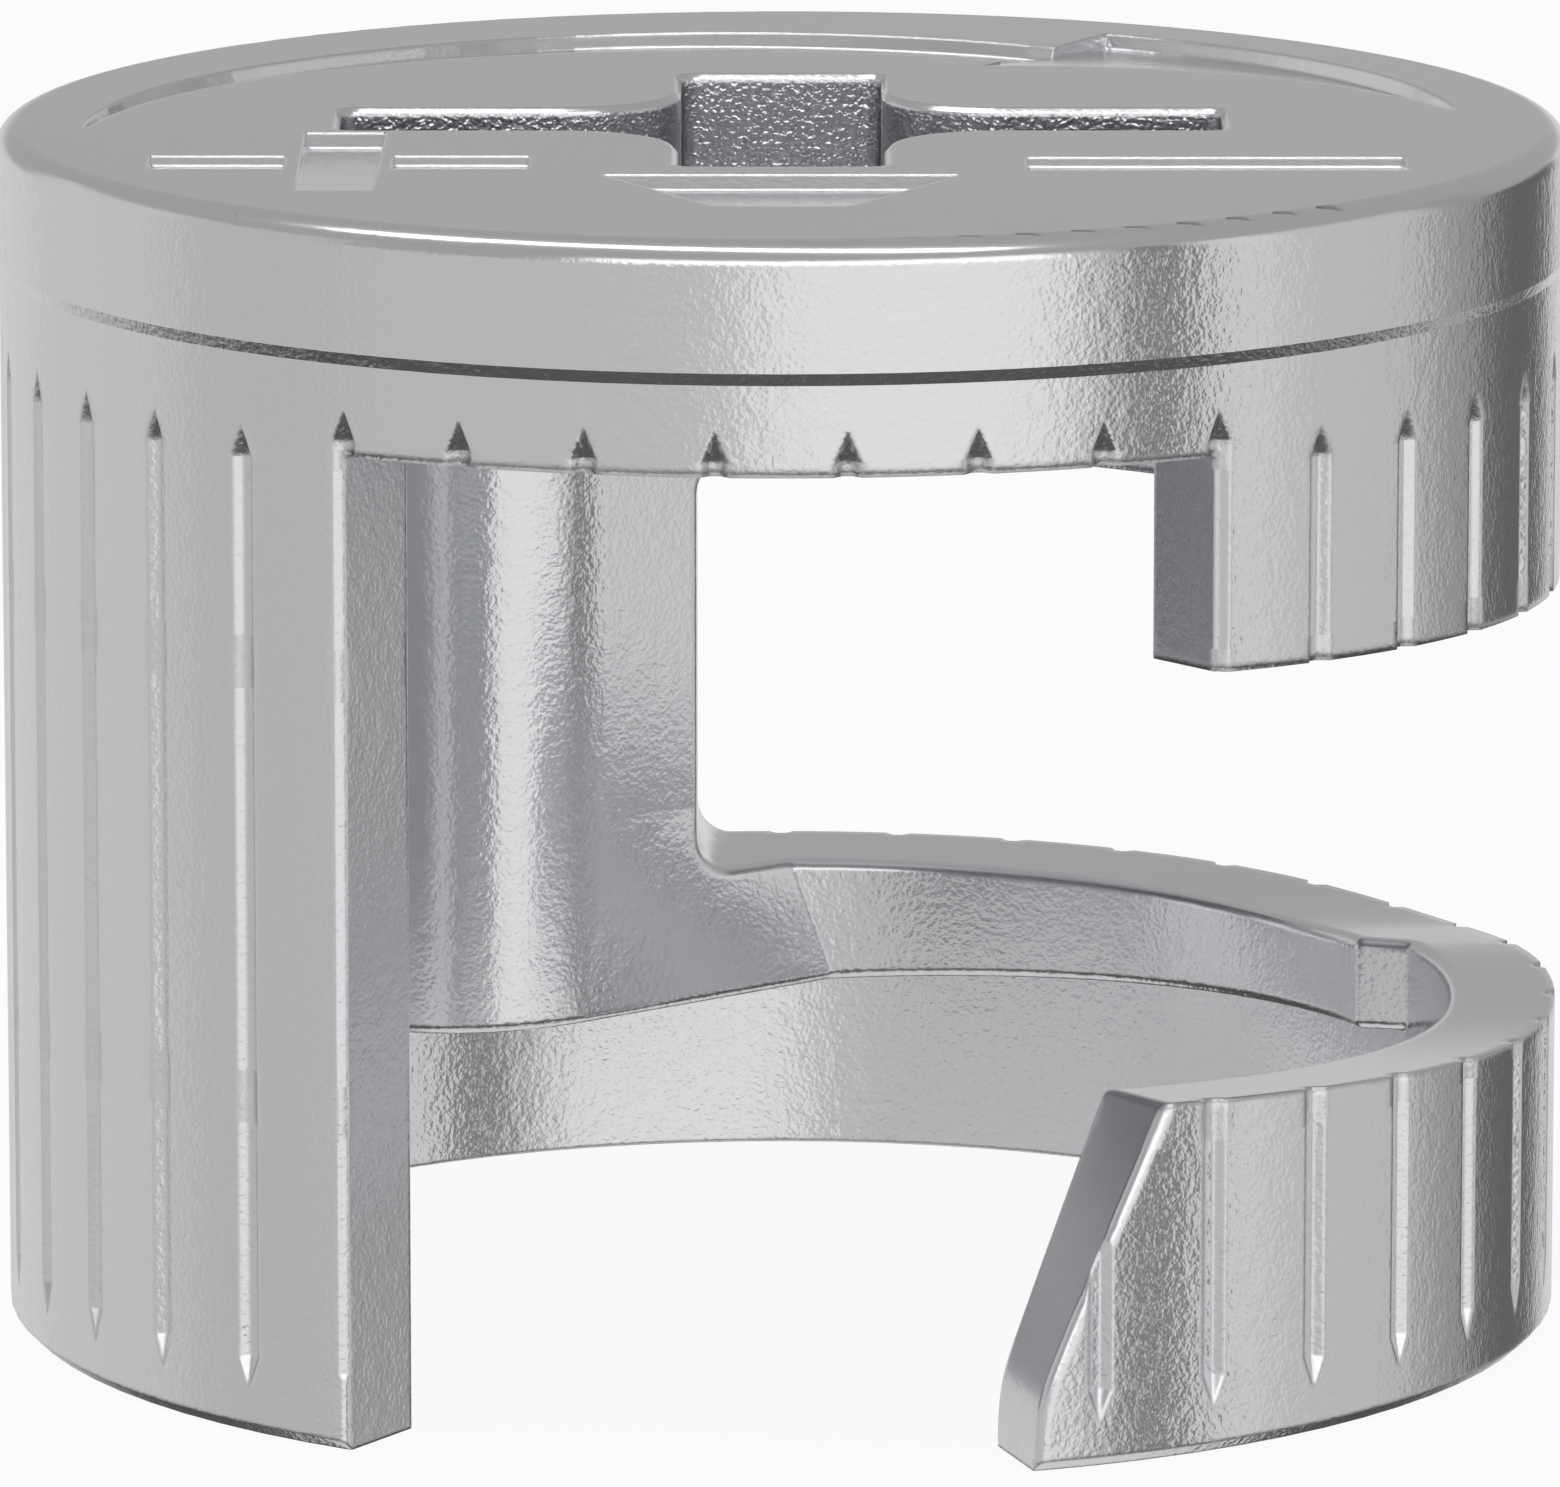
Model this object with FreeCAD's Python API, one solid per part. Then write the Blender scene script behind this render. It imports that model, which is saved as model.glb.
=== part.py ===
import FreeCAD, Part
import math
import os

# Furniture cam lock fitting: one die-cast zinc cam housing, 15 mm across.
# Millimetres, +Z up. The origin is the centre of the open underside.
# Angles are degrees round the axis from the front, which is -Y, and grow towards +X.

# Outside
head_diameter = 15.0
total_height = 11.52
band_height = 1.30
band_step = 0.035
band_taper = 0.38
head_edge_radius = 0.24
foot_bevel = 0.10
edge_radius = 0.10

# Inside: an open bore, set a little to the back, and a cam rib that grips the bolt head
head_plate = 2.16
wall = 1.015
bore_offset = 0.17
rib_thickness = 0.32
rib_start = 107.9
rib_step_angle = 4.6
ramp_angle_top = 38.0
ramp_angle_foot = 27.0
lobe_radius = 1.80
lobe_x = -2.85
lobe_stand = 1.95
rib_foot_height = 1.757
rib_foot_slope = 3.5
rib_lean_top = 3.70

# Bolt slot, open from the front round the right side to the back
slot_floor = 3.05
slot_roof = 7.19
slot_end_x = -0.85
slot_corner_radius = 0.35
nose_rise_from = 2.4
nose_slope = 4.35
mouth_rise_from = 3.0
mouth_slope = 2.75
dip_depth = 0.09
dip_start = 1.9
dip_place = 3.6
dip_end = 7.1

# Front opening for the bolt head
left_end_angle = -32.7
right_end_angle = 32.5
nose_foot_angle = 18.4
nose_bend_height = 0.87
nose_lean = 3.78

# Drive recess in the head
blade_length = 8.42
blade_width = 1.38
arm_length = 5.88
arm_width = 1.94
flare_radius = 1.10
recess_corner_radius = 0.16
recess_depth = 1.60
recess_bevel = 0.06

# Flutes
flute_count = 39
flute_depth = 0.09
flute_width = 0.26
flute_floor_width = 0.10
flute_foot = 0.43
flute_top = 9.53
front_flute_top = 9.79
flute_run_out = 0.30

# Worked out from the sizes above, with the length by which cutters reach past the metal
head_radius = head_diameter / 2
body_radius = head_radius - band_step
roof_level = total_height - head_plate
bore_radius = body_radius - wall
rib_radius = bore_radius - rib_thickness
lobe_y = bore_radius - lobe_stand
overcut = 1.0
reach = 2 * head_radius
closeness = 0.01
slight_turn = 15


def polar(radius, angle, z=0.0):
    """Point at a radius and an angle from the front."""
    turn = math.radians(angle)
    return FreeCAD.Vector(radius * math.sin(turn), -radius * math.cos(turn), z)


def angle_of(point):
    """Angle from the front of a point, 0 to 360 degrees."""
    return math.degrees(math.atan2(point.x, -point.y)) % 360


def line(start, end):
    return Part.LineSegment(start, end).toShape()


def arc(start, middle, end):
    return Part.Arc(start, middle, end).toShape()


def lift(wire, z):
    """The same flat wire at height z."""
    return wire.translated(FreeCAD.Vector(0, 0, z))


def triangle(first, last, z):
    """Flat triangle at one height from the axis out, between two angles."""
    corners = [FreeCAD.Vector(0, 0, z), polar(reach, first, z), polar(reach, last, z)]
    return Part.Face(Part.makePolygon(corners + corners[:1]))


def is_sharp(solid, edge):
    """True on an outer corner, where two faces turn away from each other by more than a little."""
    faces = solid.ancestorsOfType(edge, Part.Face)
    if len(faces) < 2:
        return False
    middle = edge.valueAt((edge.FirstParameter + edge.LastParameter) / 2)
    first, second = [face.normalAt(*face.Surface.parameter(middle)) for face in faces]
    if first.getAngle(second) < math.radians(slight_turn):
        return False
    beside = middle + (first - second).normalize() * closeness
    return not solid.isInside(beside, 1e-7, False)


def make_blank():
    """Lathe-turned outside: bevelled foot, wall, head band and the rounded edge of the head."""
    band_foot = total_height - band_height
    past_arc = head_edge_radius * (1 - math.sqrt(0.5))

    def at(radius, z):
        return FreeCAD.Vector(0, -radius, z)

    round_start = at(head_radius, total_height - head_edge_radius)
    round_middle = at(head_radius - past_arc, total_height - past_arc)
    round_end = at(head_radius - head_edge_radius, total_height)
    outline = [
        round_end,
        at(0, total_height),
        at(0, 0),
        at(body_radius - foot_bevel, 0),
        at(body_radius, foot_bevel),
        at(body_radius, band_foot - band_taper),
        at(head_radius, band_foot),
        round_start,
    ]
    edges = [line(start, end) for start, end in zip(outline, outline[1:])]
    section = Part.Face(Part.Wire(edges + [arc(round_start, round_middle, round_end)]))
    return section.revolve(FreeCAD.Vector(0, 0, 0), FreeCAD.Vector(0, 0, 1), 360)


def rib_plan(ramp_angle):
    """Plan of the cam rib at one height: step, grip arc, ramp and end lobe."""
    backing = (bore_radius + head_radius) / 2
    step_out = polar(bore_radius + bore_offset, rib_start)
    step_in = polar(rib_radius, rib_start + rib_step_angle)
    lobe_centre = FreeCAD.Vector(lobe_x, lobe_y + lobe_radius, 0)
    turn = math.radians(ramp_angle)
    ramp_foot = lobe_centre + FreeCAD.Vector(math.sin(turn), -math.cos(turn), 0) * lobe_radius
    along = FreeCAD.Vector(math.cos(turn), math.sin(turn), 0)
    ahead = ramp_foot.dot(along)
    ramp_length = -ahead + math.sqrt(ahead ** 2 + rib_radius ** 2 - ramp_foot.dot(ramp_foot))
    ramp_top = ramp_foot + along * ramp_length
    lobe_back = lobe_centre + FreeCAD.Vector(-lobe_radius, 0, 0)
    halfway = turn / 2 - math.pi / 4
    lobe_front = lobe_centre + FreeCAD.Vector(math.sin(halfway), -math.cos(halfway), 0) * lobe_radius
    grip_middle = polar(rib_radius, (angle_of(step_in) + angle_of(ramp_top)) / 2)
    back_start = polar(backing, angle_of(lobe_back))
    back_middle = polar(backing, (angle_of(lobe_back) + rib_start) / 2)
    back_end = polar(backing, rib_start)
    return Part.Wire([
        line(back_end, step_out),
        line(step_out, step_in),
        arc(step_in, grip_middle, ramp_top),
        line(ramp_top, ramp_foot),
        arc(ramp_foot, lobe_front, lobe_back),
        line(lobe_back, back_start),
        arc(back_start, back_middle, back_end),
    ])


def make_rib():
    """Cam rib from its sloping foot to the roof; its face leans in up to just over the slot floor."""
    low = rib_foot_height - head_radius * math.tan(math.radians(rib_foot_slope))
    foot_plan = lift(rib_plan(ramp_angle_foot), low)
    top_plan = lift(rib_plan(ramp_angle_top), rib_lean_top)
    lower = Part.makeLoft([foot_plan, top_plan], True, True)
    upper = Part.Face(top_plan).extrude(FreeCAD.Vector(0, 0, roof_level + overcut - rib_lean_top))
    below = Part.makeBox(2 * reach, 2 * reach, 2 * reach)
    below.translate(FreeCAD.Vector(-reach, -reach, -2 * reach))
    below.rotate(FreeCAD.Vector(0, 0, 0), FreeCAD.Vector(0, 1, 0), -rib_foot_slope)
    below.translate(FreeCAD.Vector(0, 0, rib_foot_height))
    return lower.fuse(upper).cut(below).removeSplitter()


def make_cavity():
    """The open bore with the cam rib left standing in it."""
    centre = FreeCAD.Vector(0, bore_offset, -overcut)
    bore = Part.makeCylinder(bore_radius, roof_level + overcut, centre)
    bore.rotate(centre, FreeCAD.Vector(0, 0, 1), -90)
    return bore.cut(make_rib())


def slot_face(level, slope, rise_from, back_points):
    """Side-view line of a slot face: it climbs towards the front and is level behind."""
    far = head_radius + overcut
    climb = math.tan(math.radians(slope))
    points = [(-far, climb * (far - rise_from)), (-2 * rise_from, climb * rise_from), (-rise_from / 2, 0)]
    points += back_points + [(far, 0)]
    curve = Part.BSplineCurve()
    curve.interpolate([FreeCAD.Vector(slot_end_x, y, level + z) for y, z in points])
    return curve.toShape()


def make_slot():
    """Bolt slot: its floor and roof rise towards the front, its closed end is behind."""
    dip = [(dip_start, 0), (dip_place, -dip_depth), ((dip_place + dip_end) / 2, -dip_depth / 2), (dip_end, 0)]
    floor = slot_face(slot_floor, nose_slope, nose_rise_from, dip)
    roof = slot_face(slot_roof, mouth_slope, mouth_rise_from, [(mouth_rise_from / 2, 0)])
    front = line(floor.Vertexes[0].Point, roof.Vertexes[0].Point)
    back = line(floor.Vertexes[-1].Point, roof.Vertexes[-1].Point)
    side = Part.Face(Part.Wire(Part.__sortEdges__([floor, back, roof, front])))
    slot = side.extrude(FreeCAD.Vector(head_radius + overcut - slot_end_x, 0, 0))
    closed = []
    for edge in slot.Edges:
        box = edge.BoundBox
        if box.XMax < slot_end_x + closeness and box.YLength > head_radius:
            closed.append(edge)
    return slot.makeFillet(slot_corner_radius, closed)


def nose_angle(z):
    """Angle of the nose face: upright at the foot, then leaning back, with a soft bend between."""
    bend = nose_bend_height / 2
    above = z - nose_bend_height
    if above < -bend:
        return nose_foot_angle
    if above > bend:
        return nose_foot_angle + nose_lean * above
    return nose_foot_angle + nose_lean * (above + bend) ** 2 / (4 * bend)


def make_nose_gap():
    """Wedge from the front to the leaning nose face, which stays radial at every height."""
    foot, top = -overcut, (slot_floor + slot_roof) / 2
    bends = [0, nose_bend_height / 2, nose_bend_height, nose_bend_height * 3 / 2]
    nose_line = Part.BSplineCurve()
    nose_line.interpolate([polar(reach, nose_angle(z), z) for z in [foot] + bends + [slot_floor, top]])
    nose_edge = nose_line.toShape()
    axis = line(FreeCAD.Vector(0, 0, foot), FreeCAD.Vector(0, 0, top))
    front = line(polar(reach, 0, foot), polar(reach, 0, top))
    faces = [Part.makeRuledSurface(a, b) for a, b in ((axis, nose_edge), (front, nose_edge), (axis, front))]
    faces += [triangle(0, nose_angle(z), z) for z in (foot, top)]
    shell = Part.Shell(faces)
    shell.sewShape()
    gap = Part.Solid(shell)
    gap.fix(1e-6, 1e-6, 1e-6)
    return gap


def make_opening():
    """Front opening: straight left end, leaning nose, and a straight right end over the slot."""
    middle = (slot_floor + slot_roof) / 2
    left = triangle(left_end_angle, 0, -overcut).extrude(FreeCAD.Vector(0, 0, roof_level + overcut))
    right = triangle(0, right_end_angle, middle).extrude(FreeCAD.Vector(0, 0, roof_level - middle))
    return left.fuse([make_nose_gap(), right])


def make_drive_recess():
    """Cross recess: a long blade slot and a short wide arm, joined by flares."""
    half_length, half_blade = blade_length / 2, blade_width / 2
    half_arm, half_reach = arm_width / 2, arm_length / 2
    past_arc = flare_radius * (1 - math.sqrt(0.5))
    corner = [
        (half_length, half_blade),
        (half_arm + flare_radius, half_blade),
        (half_arm + past_arc, half_blade + past_arc),
        (half_arm, half_blade + flare_radius),
        (half_arm, half_reach),
    ]
    edges = []
    start = None
    for sx, sy in ((1, 1), (-1, 1), (-1, -1), (1, -1)):
        points = [FreeCAD.Vector(sx * x, sy * y, total_height - recess_depth) for x, y in corner]
        if sx != sy:
            points.reverse()
        if start:
            edges.append(line(start, points[0]))
        edges += [line(points[0], points[1]), arc(*points[1:4]), line(points[3], points[4])]
        start = points[4]
    edges.append(line(start, edges[0].Vertexes[0].Point))
    recess = Part.Face(Part.Wire(edges)).extrude(FreeCAD.Vector(0, 0, recess_depth + overcut))
    ends = []
    for edge in recess.Edges:
        middle = edge.CenterOfMass
        upright = edge.BoundBox.ZLength > recess_depth
        outer = half_length - abs(middle.x) < closeness or half_reach - abs(middle.y) < closeness
        if upright and outer:
            ends.append(edge)
    return recess.makeFillet(recess_corner_radius, ends)


def is_soft(edge):
    """True where the casting's edge is rounded: inside, and upright at both ends of the opening."""
    box = edge.BoundBox
    steps = [edge.FirstParameter + (edge.LastParameter - edge.FirstParameter) * i / 4 for i in range(5)]
    radii = [math.hypot(edge.valueAt(step).x, edge.valueAt(step).y) for step in steps]
    if body_radius - min(radii) < closeness:
        return box.YMax < 0 and box.ZLength > head_plate / 2
    at_foot = box.ZMax < foot_bevel + closeness
    along_slot_roof = box.ZMin > slot_roof - closeness and box.ZMax < roof_level - closeness
    return not at_foot and not along_slot_roof


def soften_edges(solid):
    """Bevels the rim of the drive recess and rounds the cast edges inside and at both ends."""
    sharp = [edge for edge in solid.Edges if is_sharp(solid, edge)]
    rim = [edge for edge in sharp if edge.BoundBox.ZMin > total_height - closeness]
    bevelled = solid.makeChamfer(recess_bevel, rim)
    rounded = [edge for edge in sharp if edge.BoundBox.ZMax < total_height - closeness and is_soft(edge)]
    return bevelled.makeFillet(edge_radius, rounded)


def make_flute(angle):
    """One flute cutter: a flat-floored groove with sloping sides, pointed at both ends."""
    from_front = min(angle, 360 - angle)
    at_opening = from_front < min(-left_end_angle, right_end_angle)
    top = front_flute_top if at_opening else flute_top
    outward, sideways = polar(1, angle), polar(1, angle + 90)
    section = [
        outward * -flute_depth + sideways * (flute_floor_width / 2),
        outward * flute_depth + sideways * (flute_width - flute_floor_width / 2),
        outward * flute_depth - sideways * (flute_width - flute_floor_width / 2),
        outward * -flute_depth - sideways * (flute_floor_width / 2),
    ]
    low_tip = polar(body_radius, angle, flute_foot)
    high_tip = polar(body_radius, angle, top)
    run = FreeCAD.Vector(0, 0, flute_run_out)
    low_ring = [low_tip + run + corner for corner in section]
    high_ring = [high_tip - run + corner for corner in section]
    faces = []
    for i in range(len(section)):
        a, b, c, d = low_ring[i - 1], low_ring[i], high_ring[i], high_ring[i - 1]
        for outline in ((low_tip, a, b), (a, b, c, d), (d, c, high_tip)):
            faces.append(Part.Face(Part.makePolygon(list(outline) + [outline[0]])))
    return Part.Solid(Part.Shell(faces))


def make_housing():
    """The casting: blank, hollows, soft edges, then a land and not a flute at the very front."""
    hollows = [make_cavity(), make_slot(), make_opening(), make_drive_recess()]
    housing = make_blank().cut(hollows).removeSplitter()
    housing = soften_edges(housing)
    pitch = 360 / flute_count
    return housing.cut([make_flute((i + 0.5) * pitch) for i in range(flute_count)])


os.makedirs("parts", exist_ok=True)
make_housing().exportStep("parts/cam_housing.step")
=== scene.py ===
import math

import bmesh
import bpy
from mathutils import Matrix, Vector
from mathutils.kdtree import KDTree


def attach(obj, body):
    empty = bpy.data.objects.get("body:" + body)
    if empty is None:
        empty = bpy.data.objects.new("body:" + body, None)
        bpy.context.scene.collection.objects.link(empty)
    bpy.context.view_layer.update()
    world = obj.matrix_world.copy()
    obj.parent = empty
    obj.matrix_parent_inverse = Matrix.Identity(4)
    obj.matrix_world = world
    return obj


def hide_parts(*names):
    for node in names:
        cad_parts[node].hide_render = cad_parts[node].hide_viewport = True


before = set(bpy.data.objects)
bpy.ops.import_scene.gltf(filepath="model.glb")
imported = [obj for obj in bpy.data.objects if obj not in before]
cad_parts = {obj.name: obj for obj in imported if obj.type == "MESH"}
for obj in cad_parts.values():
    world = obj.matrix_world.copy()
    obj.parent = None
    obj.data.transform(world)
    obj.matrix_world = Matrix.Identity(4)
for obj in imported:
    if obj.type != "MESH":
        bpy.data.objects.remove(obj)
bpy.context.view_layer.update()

# Lengths are in millimetres and angles in degrees, unless a comment says otherwise.
MM = 0.001

# The head's flat top, and the signs sunk in it
TOP = 11.52
SIGN_DEPTH = 0.15
BAR_DEPTH = 0.1
WALL_LEAN = 0.36
CUTTER_RISE = 0.2

# Plus: its arms along X and their back and front, then its upright's back and front and, for each
# of its sides, X and how far the floor is drawn in. Minus: both ends along X, then back and front.
PLUS_ARMS = [(-5.94, -4.62), (-3.66, -2.33)]
PLUS_ARM_SIDES = (-2.32, -3.14)
PLUS_UPRIGHT_ENDS = (-0.87, -4.45)
PLUS_UPRIGHT_SIDES = [(-4.54, 0.05), (-3.72, -0.05)]
MINUS_BAR = (2.27, 5.86, -2.4, -3.2)

# Pointer: half its width, Y of its base and tip, and the length over which its floor comes up
POINTER_HALF = 1.68
POINTER_BASE = -3.45
POINTER_TIP = -6.5
POINTER_FLOOR_RUN = 1.9
POINTER_STEPS = 8
POINTER_BLUNTING = 0.99

# Turn arrow: angles of its ends, then its outer and inner lines as (angle, radius)
ARROW_TAIL = 274.4
SHAFT_END = 149.7
BARB = 150.4
ARROW_TIP = 95.7
SHAFT_STEPS = 32
ARROWHEAD_STEPS = 20
SHAFT_INNER_DEPTH = 0.02
SHAFT_OUTER = [(SHAFT_END, 5.45), (188, 5.85), (230, 6.15), (ARROW_TAIL, 6.67)]
SHAFT_INNER = [(SHAFT_END, 4.35), (188, 4.5), (230, 5.35), (ARROW_TAIL, 6.6)]
ARROWHEAD_OUTER = [(ARROW_TIP, 6.5), (BARB, 6.56)]
ARROWHEAD_INNER = [(ARROW_TIP, 6.43), (120, 5.5), (BARB, 4.0)]

# The step under the head band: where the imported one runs, and where the casting's tighter one does
STEP_FOOT = 9.84
STEP_TOP = 10.22
NEW_STEP_FOOT = 10.205
NEW_STEP_TOP = 10.32
STEP_SIZE = 0.035
STEP_INSIDE = 7.4
WALL_RADII = (7.5, 7.465)

# Centre of the head edge's rounding: radius and height
ROUNDING_CENTRE = 7.26
ROUNDING_START = 11.28
ROUNDING_MARGIN = 0.03

# How near a point lies to a surface or to another point to count as on it
ON_SURFACE = 0.002
SAME_POINT = 0.0002

# How far faces point outwards, down or level, as cosines
FACES_OUT = 0.05
SQUARE_OUT = 0.996
STEP_SLOPE = -0.2
LEVEL_SLOPE = 0.01
SAME_DIRECTION = 0.999

# Finish of the casting: sizes and heights of its wrinkles, and how much it rounds its edges
WRINKLE_SIZE = 0.052
MOTTLE_SIZE = 0.16
MOTTLE_RELIEF = 0.0035
WRINKLE_RELIEF = 0.005
RECESS_EXTRA_RELIEF = 0.008
EDGE_ROUNDING = 0.06
EXTRA_ROUNDING = 0.08
# Heights and reach of the edges that take the extra: slot floor, slot roof, roof of the opening
ROUNDER_EDGES = [(3.2, 0.25), (7.3, 0.25), (9.36, 0.14)]
# Where the head's rim begins, as radius and as height, each from nothing to full
RIM_RADII = (7.0, 7.1)
HEAD_HEIGHTS = (9.9, 10.0)
# Upward lean at which the wrinkles begin to fade and are at their faintest, and what is left
FADE_LEANS = (0.02, 0.30)
FAINTEST = 0.10
NICKEL_ROUGHNESS = 0.19

# White paper under the part; half its width is in metres
PAPER_GLOW = 0.93
PAPER_ROUGHNESS = 0.9
PAPER_HALF = 3.0
PAPER_DROP = -0.01

# Studio panels round the part: from and to angle from the front, towards +X, brightness, and foot
# and top in metres
PANELS = [
    (-180, -142, 0.70, -0.15, 0.045),
    (-142, -98, 0.66, -0.15, 0.20),
    (-98, -66, 0.57, -0.15, 0.20),
    (-66, -5, 0.61, -0.15, 0.05),
    (-5, 43, 0.95, -0.15, 0.05),
    (-28, 41, 1.45, 0.05, 0.19),
    (43, 52, 0.55, -0.15, 0.20),
    (52, 61, 0.10, -0.15, 0.20),
    (61, 76, 0.80, -0.15, 0.20),
    (76, 108, 0.62, -0.15, 0.20),
    (108, 124, 0.36, -0.15, 0.20),
    (124, 152, 0.13, -0.15, 0.045),
    (152, 180, 0.78, -0.15, 0.045),
]
PANEL_DISTANCE = 0.4
PANEL_FACET = 4
TABLE_DROP = -0.15
SKY_LEVEL = 0.42
# Discs of the table, each a millimetre over the wider one: radius in metres, brightness
TABLE_DISCS = [(0.40, 0.50), (0.31, 0.22), (0.25, 0.08), (0.115, 0.75)]
DISC_CORNERS = 36

# Lamp over the head: its azimuth is the angle from the front, towards +X; distance and size in metres
STRIP_AZIMUTH = -30
STRIP_ELEVATION = 76
STRIP_DISTANCE = 0.30
STRIP_SIZE = (0.40, 0.05)
STRIP_POWER = 0.28

# Camera: sensor and lens, how far it looks down, its distance, and the point it looks at
SENSOR_WIDTH = 36
LENS = 311.5
LOOK_DOWN = 11.203
CAMERA_DISTANCE = 130
AIM_X = -0.012
AIM_Z = 5.442


def linear(code):
    """sRGB hex to linear colour with alpha."""
    parts = [int(code[i:i + 2], 16) / 255 for i in (1, 3, 5)]
    return [c / 12.92 if c <= 0.04045 else ((c + 0.055) / 1.055) ** 2.4 for c in parts] + [1.0]


def per_mm(size):
    """Pattern scale for features of a size in millimetres, for coordinates in metres."""
    return 1 / (size * MM)


def add(tree, kind, links=(), **settings):
    """Adds a node; settings name a property or a socket, links give (socket, source node, output)."""
    made = tree.nodes.new(kind)
    for name, value in settings.items():
        if hasattr(made, name):
            setattr(made, name, value)
        else:
            made.inputs[name.replace("_", " ")].default_value = value
    for socket, source, output in links:
        tree.links.new(source.outputs[output], made.inputs[socket])
    return made


def new_material(name):
    material = bpy.data.materials.new(name)
    material.use_nodes = True
    material.node_tree.nodes.clear()
    return material, material.node_tree


def nickel_plated_zinc():
    """Satin nickel over die-cast zinc: a clear but soft sheen, broken by the casting's fine wrinkles."""
    material, tree = new_material("nickel_plated_die_cast_zinc")
    place = add(tree, "ShaderNodeTexCoord")
    wrinkle = add(tree, "ShaderNodeTexNoise", [("Vector", place, "Object")],
                  Scale=per_mm(WRINKLE_SIZE), Detail=1.0, Roughness=0.5)
    mottle = add(tree, "ShaderNodeTexNoise", [("Vector", place, "Object")],
                 Scale=per_mm(MOTTLE_SIZE), Detail=0.0)
    height = add(tree, "ShaderNodeSeparateXYZ", [("Vector", place, "Object")])
    plan = add(tree, "ShaderNodeCombineXYZ", [("X", height, "X"), ("Y", height, "Y")])
    radius = add(tree, "ShaderNodeVectorMath", [(0, plan, "Vector")], operation="LENGTH")
    outside = add(tree, "ShaderNodeMapRange", [("Value", radius, "Value")],
                  From_Min=RIM_RADII[0] * MM, From_Max=RIM_RADII[1] * MM)
    at_head = add(tree, "ShaderNodeMapRange", [("Value", height, "Z")],
                  From_Min=HEAD_HEIGHTS[0] * MM, From_Max=HEAD_HEIGHTS[1] * MM)
    on_rim = add(tree, "ShaderNodeMath", [(0, outside, "Result"), (1, at_head, "Result")],
                 operation="MULTIPLY")
    round_size = None
    for level, reach in ROUNDER_EDGES:
        near = add(tree, "ShaderNodeMath", [(0, height, "Z")], operation="COMPARE")
        near.inputs[1].default_value = level * MM
        near.inputs[2].default_value = reach * MM
        size = add(tree, "ShaderNodeMath", [(0, near, "Value")], operation="MULTIPLY_ADD")
        size.inputs[1].default_value = EXTRA_ROUNDING * MM
        size.inputs[2].default_value = EDGE_ROUNDING * MM
        if round_size:
            tree.links.new(round_size.outputs["Value"], size.inputs[2])
        round_size = size
    rounded = add(tree, "ShaderNodeBevel", [("Radius", round_size, "Value")], samples=8)
    plain = add(tree, "ShaderNodeNewGeometry")
    # The rim is exactly turned already, so it keeps its own normals.
    edges = add(tree, "ShaderNodeMix", data_type="VECTOR")
    tree.links.new(on_rim.outputs["Value"], edges.inputs["Factor"])
    tree.links.new(rounded.outputs["Normal"], edges.inputs[4])
    tree.links.new(plain.outputs["Normal"], edges.inputs[5])
    facing = add(tree, "ShaderNodeSeparateXYZ", [("Vector", place, "Normal")])
    cast = add(tree, "ShaderNodeMapRange", [("Value", facing, "Z")],
               From_Min=FADE_LEANS[0], From_Max=FADE_LEANS[1], To_Min=1.0, To_Max=FAINTEST)
    middle = add(tree, "ShaderNodeBump", [("Height", mottle, "Fac"), ("Normal", edges, 1),
                                          ("Strength", cast, "Result")],
                 Distance=MOTTLE_RELIEF * MM)
    within = add(tree, "ShaderNodeMath", [(0, at_head, "Result"), (1, on_rim, "Value")],
                 operation="SUBTRACT")
    rough = add(tree, "ShaderNodeMath", [(0, within, "Value")], operation="MULTIPLY_ADD")
    rough.inputs[1].default_value = RECESS_EXTRA_RELIEF * MM
    rough.inputs[2].default_value = WRINKLE_RELIEF * MM
    fine = add(tree, "ShaderNodeBump", [("Height", wrinkle, "Fac"), ("Normal", middle, "Normal"),
                                        ("Strength", cast, "Result"), ("Distance", rough, "Value")])
    metal = add(tree, "ShaderNodeBsdfPrincipled", [("Normal", fine, "Normal")],
                Base_Color=linear("#E1E2E4"), Metallic=1.0, Roughness=NICKEL_ROUGHNESS)
    add(tree, "ShaderNodeOutputMaterial", [("Surface", metal, "BSDF")])
    return material


def floor_white():
    """White paper sweep: it stays white to the eye and keeps a faint shadow under the part."""
    material, tree = new_material("white_paper")
    paper = add(tree, "ShaderNodeBsdfPrincipled", Base_Color=linear("#F2F2F2"),
                Roughness=PAPER_ROUGHNESS)
    ray = add(tree, "ShaderNodeLightPath")
    seen = add(tree, "ShaderNodeMath", [(0, ray, "Is Camera Ray"), (1, ray, "Is Glossy Ray")],
               operation="MAXIMUM")
    shown = add(tree, "ShaderNodeMath", [(0, seen, "Value"), (1, ray, "Is Transmission Ray")],
                operation="MAXIMUM")
    part = add(tree, "ShaderNodeMath", [(0, shown, "Value")], operation="MULTIPLY")
    part.inputs[1].default_value = PAPER_GLOW
    glow = add(tree, "ShaderNodeEmission", Color=(1, 1, 1, 1), Strength=1.0)
    mix = add(tree, "ShaderNodeMixShader",
              [("Fac", part, "Value"), (1, paper, "BSDF"), (2, glow, "Emission")])
    add(tree, "ShaderNodeOutputMaterial", [("Surface", mix, "Shader")])
    return material


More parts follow.
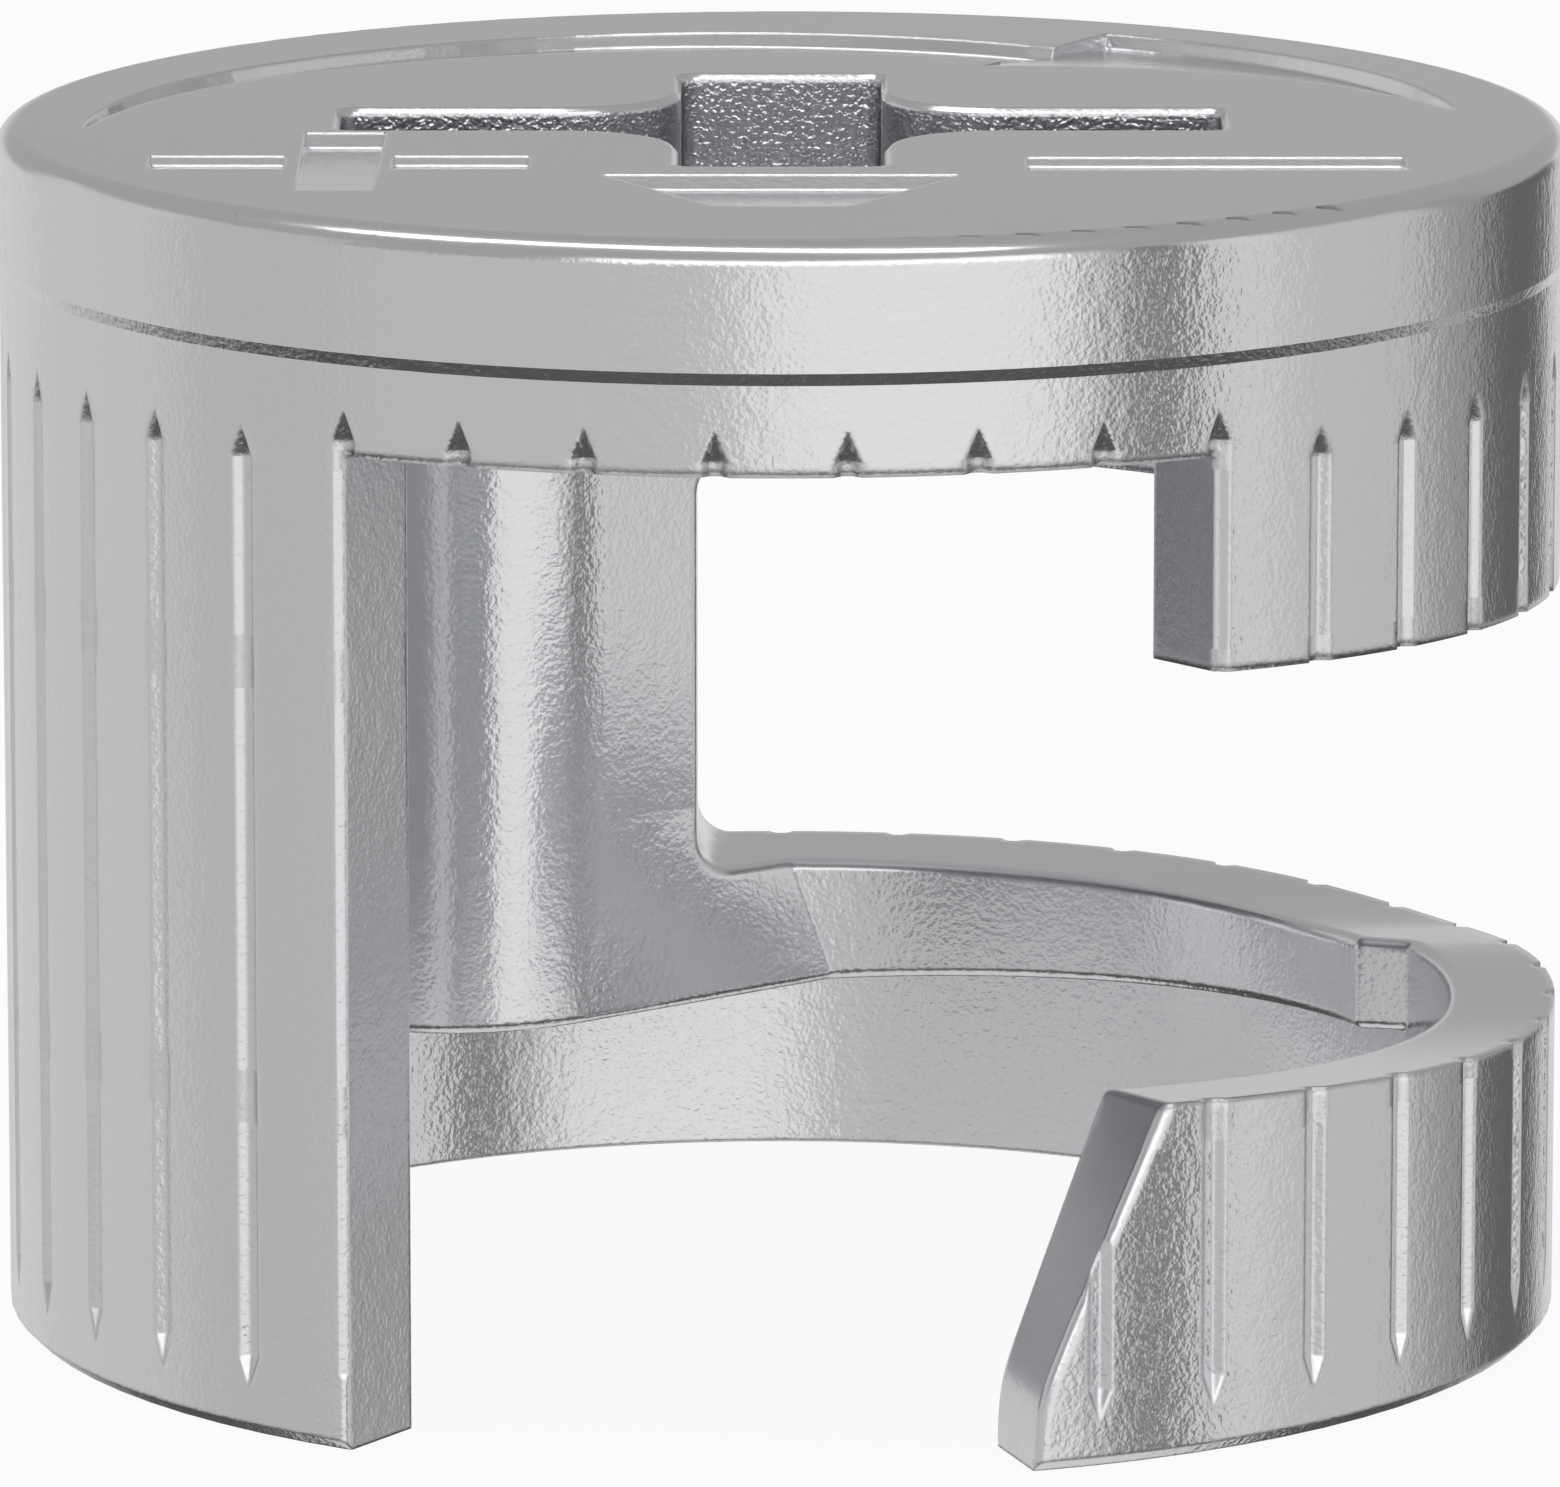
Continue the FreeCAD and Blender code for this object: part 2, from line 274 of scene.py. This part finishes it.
def station(back, front, back_depth=SIGN_DEPTH, front_depth=SIGN_DEPTH, slide=0.0):
    """One cross-section of a sign: rim points, the floor's depth under each, its shift along X."""
    back, front = Vector(back), Vector(front)
    across = (front - back).normalized() * WALL_LEAN
    along = Vector((slide, 0))
    ring = [(back - across * CUTTER_RISE, TOP + CUTTER_RISE),
            (front + across * CUTTER_RISE, TOP + CUTTER_RISE),
            (front - across * front_depth + along, TOP - front_depth),
            (back + across * back_depth + along, TOP - back_depth)]
    return [(point.x * MM, point.y * MM, z * MM) for point, z in ring]


def cutter(stations):
    """Closed body through a row of stations."""
    points = [point for ring in stations for point in ring]
    faces = [(0, 1, 2, 3), tuple(len(points) - k for k in (1, 2, 3, 4))]
    for i in range(0, len(points) - 4, 4):
        faces += [(i + k, i + k + 4, i + (k + 1) % 4 + 4, i + (k + 1) % 4) for k in range(4)]
    return points, faces


def bar(x0, x1, back, front, depth):
    lean = WALL_LEAN * depth
    return cutter([station((x0, back), (x0, front), depth, depth, lean),
                   station((x1, back), (x1, front), depth, depth, -lean)])


def plus_and_minus():
    back, front = PLUS_UPRIGHT_ENDS
    upright = cutter([station((x, back), (x, front), SIGN_DEPTH, 0.0, inset)
                      for x, inset in PLUS_UPRIGHT_SIDES])
    arms = [bar(x0, x1, *PLUS_ARM_SIDES, BAR_DEPTH) for x0, x1 in PLUS_ARMS]
    return [upright] + arms + [bar(*MINUS_BAR, BAR_DEPTH)]


def pointer():
    """Triangle that points to the front; its floor comes up before the tip."""
    rows = []
    for i in range(POINTER_STEPS + 1):
        x = POINTER_HALF * (2 * i / POINTER_STEPS - 1) * POINTER_BLUNTING
        front = POINTER_TIP + (POINTER_BASE - POINTER_TIP) * abs(x) / POINTER_HALF
        front_depth = SIGN_DEPTH * (1 - (POINTER_BASE - front) / POINTER_FLOOR_RUN)
        rows.append(station((x, POINTER_BASE), (x, front), SIGN_DEPTH, front_depth))
    return [cutter(rows)]


def turned(radius, angle):
    """Point at an angle in degrees, counted from the front towards +X."""
    a = math.radians(angle)
    return radius * math.sin(a), -radius * math.cos(a)


def blend(x, points):
    """Straight-line value between given points."""
    for (x0, y0), (x1, y1) in zip(points, points[1:]):
        if x <= x1:
            return y0 + (y1 - y0) * (x - x0) / (x1 - x0)
    return points[-1][1]


def crescent(first, last, steps, outer, inner, inner_depth):
    """Curved groove between an outer and an inner line, from one angle to another."""
    rows = []
    for i in range(steps + 1):
        angle = first + (last - first) * i / steps
        rows.append(station(turned(blend(angle, outer), angle), turned(blend(angle, inner), angle),
                            SIGN_DEPTH, inner_depth))
    return cutter(rows)


def turn_arrow():
    """Crescent with a head that shows which way the cam tightens."""
    return [crescent(ARROW_TAIL, SHAFT_END, SHAFT_STEPS, SHAFT_OUTER, SHAFT_INNER, SHAFT_INNER_DEPTH),
            crescent(BARB, ARROW_TIP, ARROWHEAD_STEPS, ARROWHEAD_OUTER, ARROWHEAD_INNER, 0.0)]


def tightened(point):
    """Moves both rings of the step up along the wall, where the casting's step is tight."""
    for level, new_level in ((STEP_FOOT, NEW_STEP_FOOT), (STEP_TOP, NEW_STEP_TOP)):
        if abs(point.z - level * MM) < ON_SURFACE * MM and point.xy.length > STEP_INSIDE * MM:
            return Vector((point.x, point.y, new_level * MM))
    return point.copy()


def turned_normal(point, face):
    """Exact normal of the lathe-turned outside at a face's corner, or None on any other surface."""
    out = Vector((point.x, point.y, 0)).normalized()
    middle = Vector((face.center.x, face.center.y, 0))
    outwards = face.normal.dot(middle.normalized())
    if outwards < FACES_OUT or middle.length < (ROUNDING_CENTRE - ROUNDING_MARGIN) * MM:
        return None
    slope = face.normal.z
    if face.center.z > ROUNDING_START * MM:
        round_out = out * (point.xy.length - ROUNDING_CENTRE * MM)
        return (round_out + Vector((0, 0, point.z - ROUNDING_START * MM))).normalized()
    if NEW_STEP_FOOT * MM < face.center.z < NEW_STEP_TOP * MM and slope < STEP_SLOPE:
        return (out * (NEW_STEP_TOP - NEW_STEP_FOOT) - Vector((0, 0, STEP_SIZE))).normalized()
    off_wall = min(abs(point.xy.length - radius * MM) for radius in WALL_RADII)
    upright = outwards > SQUARE_OUT and abs(slope) < LEVEL_SLOPE
    return out if off_wall < ON_SURFACE * MM and upright else None


def keep_normals(source, result):
    """Smooth normals for the cut mesh: exact outside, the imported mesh's elsewhere, flat on new faces."""
    corners = KDTree(len(source.loops))
    normals = {}
    for face in source.polygons:
        for i in face.loop_indices:
            corners.insert(tightened(source.vertices[source.loops[i].vertex_index].co), i)
            normals[i] = (face.normal.copy(), source.corner_normals[i].vector.copy())
    corners.balance()
    kept = []
    for face in result.polygons:
        for i in face.loop_indices:
            point = result.vertices[result.loops[i].vertex_index].co
            normal = turned_normal(point, face)
            if normal is None:
                near = corners.find_range(point, SAME_POINT * MM)
                alike = [normals[k] for _, k, _ in near
                         if normals[k][0].dot(face.normal) > SAME_DIRECTION]
                normal = face.normal.copy()
                if alike:
                    normal = max(alike, key=lambda pair: pair[0].dot(face.normal))[1]
            kept.append(normal)
    result.polygons.foreach_set("use_smooth", [True] * len(result.polygons))
    result.normals_split_custom_set(kept)


def sunk_signs(node):
    """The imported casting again, with its turn signs sunk in the head, which the solid leaves plain."""
    mesh = node.data.copy()
    for vertex in mesh.vertices:
        vertex.co = tightened(vertex.co)
    piece = bpy.data.objects.new("cam_housing_with_signs", mesh)
    piece.matrix_world = node.matrix_world
    bpy.context.scene.collection.objects.link(piece)
    points, faces = [], []
    for sign_points, sign_faces in plus_and_minus() + pointer() + turn_arrow():
        faces += [tuple(k + len(points) for k in face) for face in sign_faces]
        points += sign_points
    tool_mesh = bpy.data.meshes.new("sign_cutters")
    tool_mesh.from_pydata(points, [], faces)
    shape = bmesh.new()
    shape.from_mesh(tool_mesh)
    bmesh.ops.recalc_face_normals(shape, faces=shape.faces)
    shape.to_mesh(tool_mesh)
    shape.free()
    tool = bpy.data.objects.new("sign_cutters", tool_mesh)
    bpy.context.scene.collection.objects.link(tool)
    cut = piece.modifiers.new("signs", "BOOLEAN")
    cut.operation = "DIFFERENCE"
    cut.solver = "EXACT"
    cut.use_self = True
    cut.object = tool
    result = bpy.data.meshes.new_from_object(
        piece.evaluated_get(bpy.context.evaluated_depsgraph_get()))
    piece.modifiers.clear()
    piece.data = result
    bpy.data.objects.remove(tool)
    keep_normals(node.data, result)
    return piece


def make_floor():
    mesh = bpy.data.meshes.new("paper")
    corners = [(-PAPER_HALF, -PAPER_HALF, 0), (PAPER_HALF, -PAPER_HALF, 0),
               (PAPER_HALF, PAPER_HALF, 0), (-PAPER_HALF, PAPER_HALF, 0)]
    mesh.from_pydata(corners, [], [(0, 1, 2, 3)])
    floor = bpy.data.objects.new("paper", mesh)
    floor.location.z = PAPER_DROP * MM
    bpy.context.scene.collection.objects.link(floor)
    mesh.materials.append(floor_white())
    floor.visible_glossy = False


def glow_material(name, level):
    material, tree = new_material(name)
    glow = add(tree, "ShaderNodeEmission", Color=(1, 1, 1, 1), Strength=level)
    add(tree, "ShaderNodeOutputMaterial", [("Surface", glow, "Emission")])
    material.cycles.emission_sampling = "NONE"
    return material


def studio_card(name, points, faces, level):
    """Card that only the metal's sheen sees."""
    mesh = bpy.data.meshes.new(name)
    mesh.from_pydata(points, [], faces)
    mesh.materials.append(glow_material(name, level))
    card = bpy.data.objects.new(name, mesh)
    bpy.context.scene.collection.objects.link(card)
    card.visible_camera = False
    card.visible_diffuse = False
    card.visible_shadow = False
    card.visible_transmission = False


def make_panels():
    """Upright panels in a ring, and the table's discs under it."""
    for first, last, level, foot, top in PANELS:
        steps = max(2, round((last - first) / PANEL_FACET))
        points = []
        for i in range(steps + 1):
            x, y = turned(PANEL_DISTANCE, first + (last - first) * i / steps)
            points += [(x, y, foot), (x, y, top)]
        faces = [(2 * i, 2 * i + 2, 2 * i + 3, 2 * i + 1) for i in range(steps)]
        studio_card("panel_%d_%d" % (first, last), points, faces, level)
    for order, (radius, level) in enumerate(TABLE_DISCS):
        rim = [(*turned(radius, 360 / DISC_CORNERS * i), TABLE_DROP + order * MM)
               for i in range(DISC_CORNERS)]
        studio_card("table_%d" % (order + 1), rim, [tuple(range(DISC_CORNERS))], level)


def soft_box(name, azimuth, elevation, distance, size, power):
    """Soft lamp that shines at the middle of the part."""
    a, e = math.radians(azimuth), math.radians(elevation)
    out = Vector((math.sin(a) * math.cos(e), -math.cos(a) * math.cos(e), math.sin(e)))
    light = bpy.data.lights.new(name, "AREA")
    light.shape = "RECTANGLE"
    light.size, light.size_y = size
    light.energy = power
    lamp = bpy.data.objects.new(name, light)
    lamp.location = Vector((0, 0, TOP * MM / 2)) + out * distance
    lamp.rotation_mode = "QUATERNION"
    lamp.rotation_quaternion = out.to_track_quat("Z", "Y")
    bpy.context.scene.collection.objects.link(lamp)


def make_world():
    world = bpy.data.worlds.new("studio")
    world.use_nodes = True
    tree = world.node_tree
    tree.nodes.clear()
    back = add(tree, "ShaderNodeBackground", Color=(1, 1, 1, 1), Strength=SKY_LEVEL)
    add(tree, "ShaderNodeOutputWorld", [("Surface", back, "Background")])
    bpy.context.scene.world = world


def make_camera():
    data = bpy.data.cameras.new("camera")
    data.sensor_width = SENSOR_WIDTH
    data.lens = LENS
    camera = bpy.data.objects.new("camera", data)
    pitch = math.radians(LOOK_DOWN)
    camera.location = (AIM_X * MM, -CAMERA_DISTANCE * MM * math.cos(pitch),
                       (AIM_Z + CAMERA_DISTANCE * math.sin(pitch)) * MM)
    camera.rotation_euler = (math.pi / 2 - pitch, 0, 0)
    data.clip_start = 0.01
    bpy.context.scene.collection.objects.link(camera)
    bpy.context.scene.camera = camera


make_camera()
make_floor()
make_world()
make_panels()
soft_box("strip", STRIP_AZIMUTH, STRIP_ELEVATION, STRIP_DISTANCE, STRIP_SIZE, STRIP_POWER)

housing = sunk_signs(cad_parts["cam_housing"])
housing.data.materials.clear()
housing.data.materials.append(nickel_plated_zinc())
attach(housing, "root")
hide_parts("cam_housing")

scene = bpy.context.scene
scene.view_settings.view_transform = "Standard"
